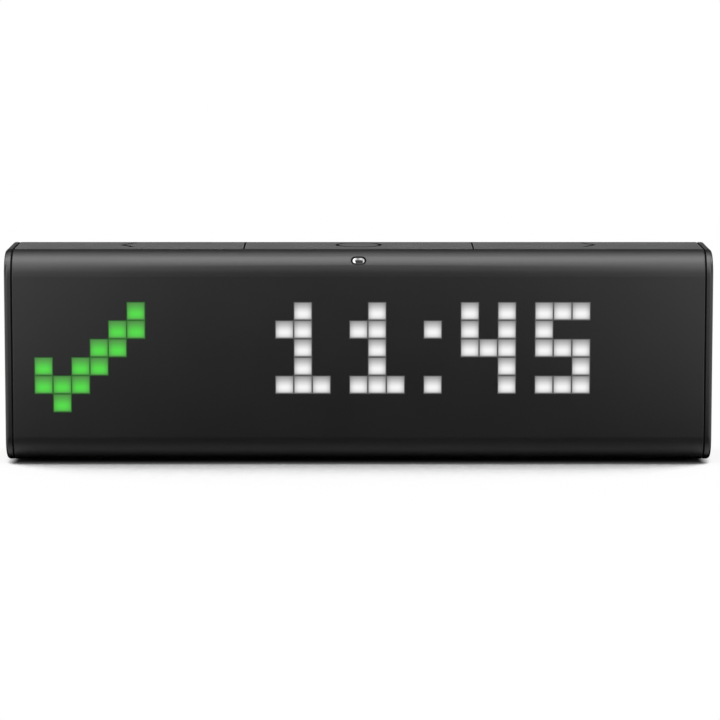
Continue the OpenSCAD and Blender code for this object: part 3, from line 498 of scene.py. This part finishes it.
def lens_with_painted_rim():
    """Clear moulding with a painted highlight along its rim, and dark below it."""
    material, tree, links, shader = node_material("clear_lens")
    axes = axes_of(tree, links, own_place(tree))
    half = LENS_HEIGHT / 2
    reach = (lens_high.x - lens_low.x) / 2
    place = ranged(tree, links, axes["X"], -reach, reach, 0, 1, "LINEAR")
    upper = ranged(tree, links, axes["Y"], *scaled(LENS_UPPER, half), 0, 1)
    lower = ranged(tree, links, axes["Y"], *scaled(LENS_LOWER, half), 0, 1)
    to_left = ranged(tree, links, axes["X"], *scaled(LENS_LEFT, reach), 1, 0)
    to_right = ranged(tree, links, axes["X"], *scaled(LENS_RIGHT, reach), 0, LENS_RIGHT_LEVEL)
    top = calculated(tree, links, "MULTIPLY", upper, ramp_of(tree, links, place, LENS_TOP_PAINTED_HIGHLIGHT))
    left = calculated(tree, links, "MULTIPLY", lower, to_left)
    right = calculated(tree, links, "MULTIPLY", lower, to_right)
    level = any_of(tree, links, [top, left, right])
    links.new(between(tree, links, level, LENS_DARK, LENS_PAINTED_HIGHLIGHT), shader.inputs["Base Color"])
    shader.inputs["Roughness"].default_value = 0.3
    shader.inputs["Specular IOR Level"].default_value = LENS_GLOSS
    return material


def lens_window():
    """Dark window within the rim of the lens, a little paler along its lower edge."""
    material, tree, links, shader = node_material("lens_window")
    place = own_place(tree)
    axes = axes_of(tree, links, place)
    cloud = noise(tree, links, place, WINDOW_CLOUD)
    paler = ranged(tree, links, axes["Y"], *scaled(WINDOW_EDGE, LENS_HEIGHT / 2), 0, 1)
    links.new(between(tree, links, paler, LENS_DARK, WINDOW_PALE), shader.inputs["Base Color"])
    links.new(ranged(tree, links, cloud, 0, 1, *WINDOW_POLISH), shader.inputs["Roughness"])
    shader.inputs["Specular IOR Level"].default_value = LENS_GLOSS
    return material


SLOTS = {
    "smoked_plastic": moulded("smoked_plastic", BODY_COLOUR, BODY_ROUGHNESS, BODY_GLOSS),
    "body_plastic": moulded("body_plastic", BODY_COLOUR, BODY_ROUGHNESS, BODY_GLOSS),
    "key_plastic": moulded("key_plastic", BODY_COLOUR, KEY_ROUGHNESS, BODY_GLOSS, bump=FINE_BUMP),
    "button_plastic": moulded("button_plastic", tinted(BODY_COLOUR, 0.3), BODY_ROUGHNESS, BODY_GLOSS),
    "foot_rubber": moulded(
        "foot_rubber", (0.006, 0.006, 0.006), roughness=0.8, gloss=0.3, grain=0.5 * MM, bump=0.3
    ),
    "gasket_foam": foam(),
    "inner_plastic": moulded("inner_plastic", (0.02, 0.02, 0.021), roughness=0.5),
    "white_plastic": moulded(
        "white_plastic", (0.8, 0.8, 0.78), roughness=0.45, grain=0.3 * MM, bump=0.08, variation=0.04
    ),
    "clear_lens": lens_with_painted_rim(),
    "circuit_board": circuit_board(),
    "led_package": moulded("led_package", (0.85, 0.85, 0.8), roughness=0.3, variation=0.05),
    "chip_plastic": moulded(
        "chip_plastic", (0.015, 0.015, 0.016), roughness=0.55, grain=0.15 * MM, bump=0.25, variation=0.3
    ),
    "steel": metal("steel", (0.55, 0.55, 0.56), roughness=0.3),
    "magnet_iron": metal("magnet_iron", (0.35, 0.35, 0.36), roughness=0.4, brushed=(1, 1, 1)),
    "cone_paper": cone_paper(),
    "ribbon_film": ribbon_film(),
    "lead_sleeve": lead_sleeve(),
}


def dress_nodes():
    """Gives each node of the frame the material of its slot, and the end caps a smoother one."""
    cap_finish = moulded("cap_plastic", BODY_COLOUR, CAP_ROUGHNESS, BODY_GLOSS, bump=FINE_BUMP)
    for part in frame["record"]["subparts"]:
        mesh = nodes[part["node"]].data
        mesh.materials.clear()
        mesh.materials.append(cap_finish if part["node"] in END_CAPS else SLOTS[part["material_slot"]])


def lit_cells(rows, place):
    """Column and row of each lit pixel of a small picture."""
    cells = []
    for down, row in enumerate(rows):
        for across, mark in enumerate(row):
            if mark == "#":
                cells.append((place[0] + across, place[1] + down))
    return cells


def time_cells(text, place):
    """Lit pixels of a line of digits, one free column between them."""
    cells = []
    column = place[0]
    for sign in text:
        cells += lit_cells(DIGITS[sign], (column, place[1]))
        column += len(DIGITS[sign][0]) + 1
    return cells


def tile_middle(column, row):
    """Middle of a pixel on the front face."""
    x = grid_middle.x + (column - (PIXEL_COLS - 1) / 2) * PIXEL_PITCH
    z = grid_middle.z - (row - (PIXEL_ROWS - 1) / 2) * PIXEL_PITCH
    return x, z


def rounded_outline(width, height, radius, steps):
    """Points of a rectangle with round corners, around its middle."""
    points = []
    for corner in range(4):
        middle_x = (width / 2 - radius) * (1 if corner in (0, 3) else -1)
        middle_y = (height / 2 - radius) * (1 if corner in (0, 1) else -1)
        for step in range(steps + 1):
            angle = math.pi / 2 * (corner + step / steps)
            points.append((middle_x + radius * math.cos(angle), middle_y + radius * math.sin(angle)))
    return points


def new_object(name, build):
    """Object from a mesh that was built, with its normals outwards."""
    mesh = bpy.data.meshes.new(name)
    bmesh.ops.recalc_face_normals(build, faces=build.faces)
    build.to_mesh(mesh)
    build.free()
    made = bpy.data.objects.new(name, mesh)
    bpy.context.scene.collection.objects.link(made)
    return made


def wall_between(build, ring, other):
    """Faces between two rings of points: returns them."""
    faces = []
    for i in range(len(ring)):
        j = (i + 1) % len(ring)
        faces.append(build.faces.new((ring[i], other[i], other[j], ring[j])))
    return faces


def prism(build, ring, other):
    """Closed solid between two rings of points."""
    build.faces.new(ring)
    build.faces.new(other)
    wall_between(build, ring, other)


def closed_loop(build, rings):
    """Solid with a hole: walls from each ring of points to the next and from the last to the first."""
    for ring, other in zip(rings, rings[1:] + rings[:1]):
        wall_between(build, ring, other)


def tile_object(name, cells, side, corner, proud):
    """Thin plates just proud of the front face, one for each lit pixel."""
    build = bmesh.new()
    outline = rounded_outline(side, side, corner, TILE_STEPS)
    for column, row in cells:
        x, z = tile_middle(column, row)
        front = [build.verts.new((x + u, front_y - proud, z + v)) for u, v in outline]
        back = [build.verts.new((x + u, front_y + TILE_ROOT, z + v)) for u, v in outline]
        prism(build, front, back)
    return new_object(name, build)


def cell_light(tree, links, place, middle, count, stops):
    """Level of light along one axis of the display: the same ramp over each pixel."""
    start = middle - count / 2 * PIXEL_PITCH
    cell = ranged(tree, links, place, start, start + PIXEL_PITCH, 0, 1, "LINEAR", clamp=False)
    return ramp_of(tree, links, calculated(tree, links, "FRACT", cell), stops)


def lit_material(name, core, rim):
    """Light of a pixel: brightest below its middle, dimmer towards its upper edge and its sides."""
    material, tree, links, shader = node_material(name)
    axes = axes_of(tree, links, own_place(tree))
    across = cell_light(tree, links, axes["X"], grid_middle.x, PIXEL_COLS, LIGHT_ACROSS)
    # The lower edge of this ramp is painted shade of the grid's lower wall
    upward = cell_light(tree, links, axes["Z"], grid_middle.z, PIXEL_ROWS, LIGHT_UPWARD_AND_PAINTED_SHADE)
    level = calculated(tree, links, "MULTIPLY", across, upward)
    links.new(between(tree, links, level, rim, core), shader.inputs["Emission Color"])
    shader.inputs["Emission Strength"].default_value = 1
    shader.inputs["Base Color"].default_value = (*TILE_COLOUR, 1)
    shader.inputs["Roughness"].default_value = BODY_ROUGHNESS
    return material


def glow_material(name, colour):
    """Dim light that strays into the walls around a lit pixel."""
    material, tree, links, shader = node_material(name)
    cloud = noise(tree, links, own_place(tree), PIXEL_PITCH)
    tint = between(tree, links, cloud, tinted(colour, -GLOW_VARIATION), tinted(colour, GLOW_VARIATION))
    links.new(tint, shader.inputs["Emission Color"])
    shader.inputs["Emission Strength"].default_value = 1
    shader.inputs["Base Color"].default_value = (*BODY_COLOUR, 1)
    shader.inputs["Roughness"].default_value = BODY_ROUGHNESS
    return material


def display():
    """The lit pixels: a green tick and the time in white, each over a dim glow."""
    pictures = (
        ("tick", lit_cells(TICK, TICK_PLACE), GREEN_CORE, GREEN_RIM, GREEN_GLOW),
        ("time", time_cells(TIME_SHOWN, TIME_PLACE), WHITE_CORE, WHITE_RIM, WHITE_GLOW),
    )
    for name, cells, core, rim, glow in pictures:
        tiles = tile_object(name + "_pixels", cells, TILE_SIDE, TILE_CORNER, TILE_PROUD)
        tiles.data.materials.append(lit_material(name + "_light", core, rim))
        halo = tile_object(name + "_glow", cells, PIXEL_PITCH, TILE_CORNER, GLOW_PROUD)
        halo.data.materials.append(glow_material(name + "_stray_light", glow))
        for piece in (tiles, halo):
            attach(piece, "housing")


def lens():
    """Lens of the light sensor: a clear rim around a dark window, in the place of its plain solid."""
    across = Vector((1, 0, 0))
    up = Vector((0, math.sin(LENS_SLOPE), math.cos(LENS_SLOPE)))
    out = Vector((0, -math.cos(LENS_SLOPE), math.sin(LENS_SLOPE)))
    half = LENS_HEIGHT / 2
    width = lens_high.x - lens_low.x
    length = (lens_high.z - lens_low.z - 2 * half * up.z) / out.z
    middle = Vector(((lens_low.x + lens_high.x) / 2, lens_low.y + half * up.y, lens_high.z - half * up.z))
    build = bmesh.new()
    rings = []
    for ring_inset, ring_height in ((0.0, -length / MM),) + LENS_RINGS:
        inset = ring_inset * MM
        outline = rounded_outline(width - 2 * inset, LENS_HEIGHT - 2 * inset, half - inset, LENS_STEPS)
        rings.append([build.verts.new((x, y, ring_height * MM)) for x, y in outline])
    for i in range(len(rings) - 1):
        for face in wall_between(build, rings[i], rings[i + 1]):
            face.smooth = True
            face.material_index = 0 if LENS_RIM[0] <= i < LENS_RIM[1] else 1
    build.faces.new(rings[0])
    window = build.faces.new(rings[-1])
    window.material_index = 1
    piece = new_object("lens_body", build)
    piece.data.materials.append(SLOTS["clear_lens"])
    piece.data.materials.append(lens_window())
    turn = Matrix((across, up, out)).transposed()
    piece.matrix_world = Matrix.Translation(middle) @ turn.to_4x4()
    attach(piece, "housing")
    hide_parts("sensor_lens")


def circle_points(diameter):
    """Points of a circle around its middle."""
    angles = [2 * math.pi * step / RING_STEPS for step in range(RING_STEPS)]
    return [(diameter / 2 * math.cos(angle), diameter / 2 * math.sin(angle)) for angle in angles]


def chevron_points(way):
    """Points of a chevron that points along +X or -X."""
    half_line = MARK_LINE / 2 * math.hypot(1, 2 * CHEVRON_WIDTH / CHEVRON_DEPTH)
    tip = CHEVRON_WIDTH / 2
    arm = CHEVRON_DEPTH / 2
    outer = [(-tip + half_line, -arm), (tip + half_line, 0), (-tip + half_line, arm)]
    inner = [(-tip - half_line, arm), (tip - half_line, 0), (-tip - half_line, -arm)]
    return [(way * x, y) for x, y in outer + inner]


def ring_at(build, middle, points, height):
    """New ring of points around a middle, at a height over it."""
    return [build.verts.new(middle + Vector((x, y, height))) for x, y in points]


def key_marks():
    """Paint on the floor of the marks: chevrons on the outer keys and a ring on the centre one."""
    paint = moulded("mark_paint", PAINT_COLOUR, roughness=0.85, gloss=0.1)
    for key, way in (("left_key", -1), ("centre_key", 0), ("right_key", 1)):
        low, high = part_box(key)
        middle = Vector(((low.x + high.x) / 2 + way * MARK_OUT, MARK_BACK, high.z - MARK_DEPTH))
        build = bmesh.new()
        if way:
            points = chevron_points(way)
            foot = ring_at(build, middle, points, -PAINT_ROOT)
            prism(build, foot, ring_at(build, middle, points, PAINT_RISE))
        else:
            outer = circle_points(RING_DIAMETER)
            inner = circle_points(RING_DIAMETER - 2 * MARK_LINE)
            rings = [ring_at(build, middle, outer, -PAINT_ROOT), ring_at(build, middle, outer, PAINT_RISE)]
            rings += [ring_at(build, middle, inner, PAINT_RISE), ring_at(build, middle, inner, -PAINT_ROOT)]
            closed_loop(build, rings)
        piece = new_object(key + "_mark", build)
        piece.data.materials.append(paint)
        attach(piece, key)


def seals():
    """Black rubber seal in the seam beside each end cap."""
    rubber = moulded("seal_rubber", SEAL_COLOUR, roughness=0.9, gloss=0.08)
    deep = SEAL_SUNK + SEAL_THICKNESS
    for cap, way in zip(END_CAPS, (-1, 1)):
        low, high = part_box(cap)
        middle = (low + high) / 2
        seam = shell_high.x if way > 0 else shell_low.x
        near = seam + way * SEAL_CLEARANCE
        far = seam + way * (SEAM_WIDTH - SEAL_CLEARANCE)
        build = bmesh.new()
        rings = []
        for x, sunk in ((near, SEAL_SUNK), (far, SEAL_SUNK), (far, deep), (near, deep)):
            depth = high.y - low.y - 2 * sunk
            height = high.z - low.z - 2 * sunk
            outline = rounded_outline(depth, height, CORNER_RADIUS - sunk, SEAL_STEPS)
            rings.append([build.verts.new((x, middle.y + y, middle.z + z)) for y, z in outline])
        closed_loop(build, rings)
        piece = new_object(cap.replace("end_cap", "seam_seal"), build)
        piece.data.materials.append(rubber)
        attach(piece, "housing")


def painted_reflection_shade(tree, links, axes):
    """Level of the floor in reflections: pale, but painted dark in front of the object and under it."""
    near = front_y - DARK_REFLECTION_NEAR
    far = front_y - DARK_REFLECTION_FAR
    contact = front_y - CONTACT_OUT
    contact_end = cad_box[1].y + CONTACT_OUT
    start = ranged(tree, links, axes["Y"], near - DARK_REFLECTION_SOFT, near, 1, 0)
    end = ranged(tree, links, axes["Y"], far - DARK_REFLECTION_SOFT, far, DARK_REFLECTION_FAR_SHARE, 1)
    right = ranged(tree, links, axes["X"], DARK_REFLECTION_HALF, DARK_REFLECTION_HALF + DARK_REFLECTION_SOFT, 1, 0)
    left = ranged(tree, links, axes["X"], -DARK_REFLECTION_HALF - DARK_REFLECTION_SOFT, -DARK_REFLECTION_HALF, 0, 1)
    ahead = ranged(tree, links, axes["Y"], contact, contact + CONTACT_SOFT, 0, 1)
    behind = ranged(tree, links, axes["Y"], contact_end - CONTACT_SOFT, contact_end, 1, 0)
    dark_patch = calculated(tree, links, "MULTIPLY", start, end)
    under = calculated(tree, links, "MULTIPLY", ahead, behind)
    wide = calculated(tree, links, "MULTIPLY", left, right)
    dark = calculated(tree, links, "MULTIPLY", any_of(tree, links, [dark_patch, under]), wide)
    return ranged(tree, links, dark, 0, 1, FLOOR_PALE, 0, "LINEAR")


def floor_shade(tree, links, axes):
    """Level of the floor around the object: dark where little sky is open, but not past its ends."""
    sky = add(tree, "ShaderNodeAmbientOcclusion", samples=SHADE_SAMPLES)
    sky.inputs["Distance"].default_value = SHADE_REACH
    outward = calculated(tree, links, "ABSOLUTE", axes["X"])
    fade = cad_box[1].x - FADE_INSIDE
    faded = ranged(tree, links, outward, fade, fade + FADE_LENGTH, 0, FADE_LEVEL)
    return any_of(tree, links, [ramp_of(tree, links, sky.outputs["AO"], SHADE_STOPS, "LINEAR"), faded])


def floor():
    """Pale floor: white as the camera and reflections see it, darker where the object shades it."""
    build = bmesh.new()
    bmesh.ops.create_grid(build, x_segments=1, y_segments=1, size=FLOOR_HALF)
    plane = new_object("floor", build)
    plane.location.z = cad_box[0].z
    material, tree, links, shader = node_material("floor_white")
    shader.inputs["Base Color"].default_value = (*FLOOR_COLOUR, 1)
    shader.inputs["Roughness"].default_value = 0.9
    path = add(tree, "ShaderNodeLightPath")
    axes = axes_of(tree, links, own_place(tree))
    level = add(tree, "ShaderNodeMix", data_type="FLOAT")
    level.inputs["B"].default_value = 1
    links.new(path.outputs["Is Camera Ray"], level.inputs["Factor"])
    links.new(painted_reflection_shade(tree, links, axes), level.inputs["A"])
    light = calculated(tree, links, "MULTIPLY", floor_shade(tree, links, axes), level.outputs["Result"])
    white = add(tree, "ShaderNodeEmission")
    links.new(light, white.inputs["Strength"])
    choice = add(tree, "ShaderNodeMixShader")
    links.new(any_of(tree, links, [path.outputs[ray] for ray in SEEN_RAYS]), choice.inputs["Fac"])
    links.new(shader.outputs["BSDF"], choice.inputs[1])
    links.new(white.outputs["Emission"], choice.inputs[2])
    links.new(choice.outputs["Shader"], tree["Material Output"].inputs["Surface"])
    plane.data.materials.append(material)


def surroundings():
    """White backdrop: the camera sees it everywhere, reflections only beside and behind the object."""
    world = bpy.data.worlds.new("surroundings")
    world.use_nodes = True
    bpy.context.scene.world = world
    tree = world.node_tree.nodes
    links = world.node_tree.links
    path = add(tree, "ShaderNodeLightPath")
    axes = axes_of(tree, links, add(tree, "ShaderNodeTexCoord").outputs["Generated"])
    backdrop = ranged(tree, links, axes["Z"], BACKDROP_FULL, BACKDROP_END, 1, 0)
    behind = ranged(tree, links, axes["Y"], FRONT_DIM, FRONT_WHITE, 0, 1)
    reflected = any_of(tree, links, [path.outputs[ray] for ray in SEEN_RAYS[1:]])
    standing = calculated(tree, links, "MULTIPLY", backdrop, behind)
    mirrored = calculated(tree, links, "MULTIPLY", standing, reflected)
    seen = any_of(tree, links, [path.outputs["Is Camera Ray"], mirrored])
    back = tree["Background"]
    back.inputs["Color"].default_value = (1, 1, 1, 1)
    links.new(ranged(tree, links, seen, 0, 1, CEILING_LEVEL, 1), back.inputs["Strength"])


def area_light(name, place, target, size, power):
    """Soft rectangular light aimed at a point."""
    data = bpy.data.lights.new(name, "AREA")
    data.shape = "RECTANGLE"
    data.size = size[0]
    data.size_y = size[1]
    data.energy = power
    lamp = bpy.data.objects.new(name, data)
    lamp.location = place
    lamp.rotation_mode = "QUATERNION"
    lamp.rotation_quaternion = (Vector(target) - Vector(place)).to_track_quat("-Z", "Y")
    lamp.visible_camera = False
    bpy.context.scene.collection.objects.link(lamp)


def on_side(place, side):
    """Place on the right for side 1, or its mirror image on the left for side -1."""
    return side * place[0], place[1], place[2]


def lamps():
    """A soft box overhead with a brighter core, a weak one in front, two at the sides, two past the ends."""
    area_light("top_light", TOP_LAMP_PLACE, TOP_LAMP_AIM, TOP_LAMP_SIZE, TOP_LAMP_POWER)
    area_light("wide_light", TOP_LAMP_PLACE, TOP_LAMP_AIM, WIDE_LAMP_SIZE, WIDE_LAMP_POWER)
    area_light("front_light", FRONT_LAMP_PLACE, FRONT_LAMP_AIM, FRONT_LAMP_SIZE, FRONT_LAMP_POWER)
    for side, name in ((-1, "left_light"), (1, "right_light")):
        place = on_side(SIDE_LAMP_PLACE, side)
        area_light(name, place, on_side(SIDE_LAMP_AIM, side), SIDE_LAMP_SIZE, SIDE_LAMP_POWER)
        end_place = on_side(END_LAMP_PLACE, side)
        area_light(name + "_end", end_place, on_side(END_LAMP_AIM, side), END_LAMP_SIZE, END_LAMP_POWER)


def camera():
    """Camera a little above the object and straight in front of it, for a square image."""
    back = Vector((0, -math.cos(CAMERA_ELEVATION), math.sin(CAMERA_ELEVATION)))
    data = bpy.data.cameras.new("camera")
    data.sensor_width = CAMERA_SENSOR
    data.lens = CAMERA_LENS
    eye = bpy.data.objects.new("camera", data)
    eye.location = Vector(CAMERA_AIM) + back * CAMERA_DISTANCE
    eye.rotation_mode = "QUATERNION"
    eye.rotation_quaternion = (-back).to_track_quat("-Z", "Y")
    bpy.context.scene.collection.objects.link(eye)
    bpy.context.scene.camera = eye


dress_nodes()
display()
lens()
key_marks()
seals()
floor()
surroundings()
lamps()
camera()
bpy.context.scene.view_settings.view_transform = "Standard"
